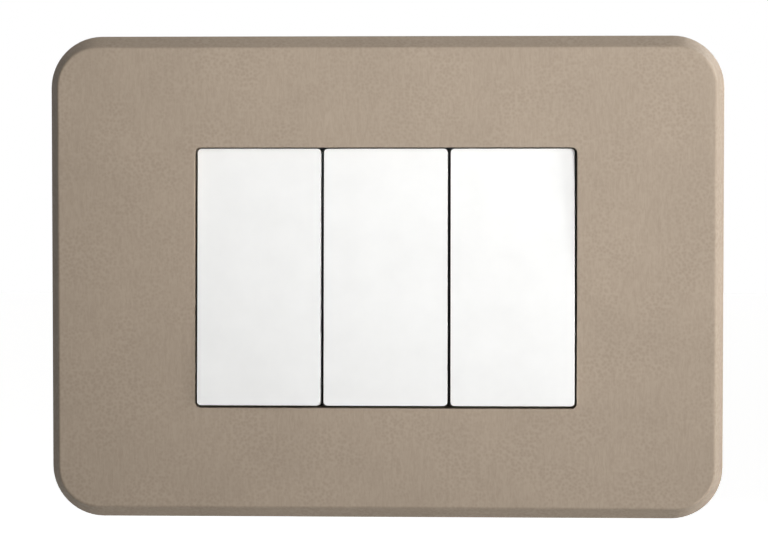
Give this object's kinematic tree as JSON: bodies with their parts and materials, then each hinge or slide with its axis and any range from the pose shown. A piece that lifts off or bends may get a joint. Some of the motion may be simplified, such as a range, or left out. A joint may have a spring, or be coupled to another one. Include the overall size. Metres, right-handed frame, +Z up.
{
  "type": "switch plate",
  "caption": "Wall switch plate: bevelled, round-cornered cover over side-by-side rocker keys, snapped to a screwed mounting frame with contact modules behind.",
  "frame": {"origin": "centre of the cover plate on the wall face", "axes": "+X to the right along the row of keys, +Y from the room into the wall, +Z up"},
  "size_m": [0.12, 0.0319, 0.086],
  "materials": {
    "cover_plate": "taupe, fine hide-like grain",
    "support_polymer": "dark grey, fibre-filled, matt",
    "zinc_plated_steel": "zinc plated",
    "key_white": "white, satin",
    "carrier_polymer": "natural acetal",
    "plunger_polymer": "natural acetal",
    "spring_steel": "bright drawn wire",
    "module_polymer": "black, matt",
    "contact_brass": "rolled strip",
    "contact_silver": "silver alloy tip"
  },
  "bodies": {
    "switch_body": {"cover_plate": "cover_plate", "mounting_frame": "support_polymer", "fixing_screws": "zinc_plated_steel", "switch_front_left": "module_polymer", "switch_front_middle": "module_polymer", "switch_front_right": "module_polymer", "switch_housing_left": "module_polymer", "switch_housing_middle": "module_polymer", "switch_housing_right": "module_polymer", "fixed_contact_left": "contact_silver", "fixed_contact_middle": "contact_silver", "fixed_contact_right": "contact_silver", "load_terminal_left": "contact_brass", "load_terminal_middle": "contact_brass", "load_terminal_right": "contact_brass", "common_terminal_left": "contact_brass", "common_terminal_middle": "contact_brass", "common_terminal_right": "contact_brass", "terminal_clamps_left": "zinc_plated_steel", "terminal_clamps_middle": "zinc_plated_steel", "terminal_clamps_right": "zinc_plated_steel", "terminal_screws_left": "zinc_plated_steel", "terminal_screws_middle": "zinc_plated_steel", "terminal_screws_right": "zinc_plated_steel"},
    "rocker_left": {"rocker_key_left": "key_white", "rocker_carrier_left": "carrier_polymer", "contact_spring_left": "spring_steel"},
    "plunger_left": {"contact_plunger_left": "plunger_polymer"},
    "blade_left": {"contact_blade_left": "contact_brass", "moving_contact_left": "contact_silver"},
    "rocker_middle": {"rocker_key_middle": "key_white", "rocker_carrier_middle": "carrier_polymer", "contact_spring_middle": "spring_steel"},
    "plunger_middle": {"contact_plunger_middle": "plunger_polymer"},
    "blade_middle": {"contact_blade_middle": "contact_brass", "moving_contact_middle": "contact_silver"},
    "rocker_right": {"rocker_key_right": "key_white", "rocker_carrier_right": "carrier_polymer", "contact_spring_right": "spring_steel"},
    "plunger_right": {"contact_plunger_right": "plunger_polymer"},
    "blade_right": {"contact_blade_right": "contact_brass", "moving_contact_right": "contact_silver"}
  },
  "joints": [
    {"name": "key_rock_left", "type": "hinge", "parent": "switch_body", "child": "rocker_left", "pos_m": [-0.0225, -0.0049, 0], "axis": [1, 0, 0], "range_deg": [0, 6]},
    {"name": "blade_tip_left", "type": "hinge", "parent": "switch_body", "child": "blade_left", "pos_m": [-0.0225, 0.0096, 0], "axis": [1, 0, 0], "range_deg": [-18, 0]},
    {"name": "plunger_slide_left", "type": "slide", "parent": "rocker_left", "child": "plunger_left", "axis": [0, -0.9986, 0.0523], "range_m": [0, 0.0015], "stiffness_N_per_m": 300, "springref_m": -0.003, "deforming": ["contact_spring_left"]},
    {"name": "key_rock_middle", "type": "hinge", "parent": "switch_body", "child": "rocker_middle", "pos_m": [0, -0.0049, 0], "axis": [1, 0, 0], "range_deg": [0, 6]},
    {"name": "blade_tip_middle", "type": "hinge", "parent": "switch_body", "child": "blade_middle", "pos_m": [0, 0.0096, 0], "axis": [1, 0, 0], "range_deg": [-18, 0]},
    {"name": "plunger_slide_middle", "type": "slide", "parent": "rocker_middle", "child": "plunger_middle", "axis": [0, -0.9986, 0.0523], "range_m": [0, 0.0015], "stiffness_N_per_m": 300, "springref_m": -0.003, "deforming": ["contact_spring_middle"]},
    {"name": "key_rock_right", "type": "hinge", "parent": "switch_body", "child": "rocker_right", "pos_m": [0.0225, -0.0049, 0], "axis": [1, 0, 0], "range_deg": [0, 6]},
    {"name": "blade_tip_right", "type": "hinge", "parent": "switch_body", "child": "blade_right", "pos_m": [0.0225, 0.0096, 0], "axis": [1, 0, 0], "range_deg": [-18, 0]},
    {"name": "plunger_slide_right", "type": "slide", "parent": "rocker_right", "child": "plunger_right", "axis": [0, -0.9986, 0.0523], "range_m": [0, 0.0015], "stiffness_N_per_m": 300, "springref_m": -0.003, "deforming": ["contact_spring_right"]}
  ],
  "couplings": [
    {"joint": "blade_tip_left", "follows": "key_rock_left", "ratio": -3},
    {"joint": "blade_tip_middle", "follows": "key_rock_middle", "ratio": -3},
    {"joint": "blade_tip_right", "follows": "key_rock_right", "ratio": -3}
  ]
}
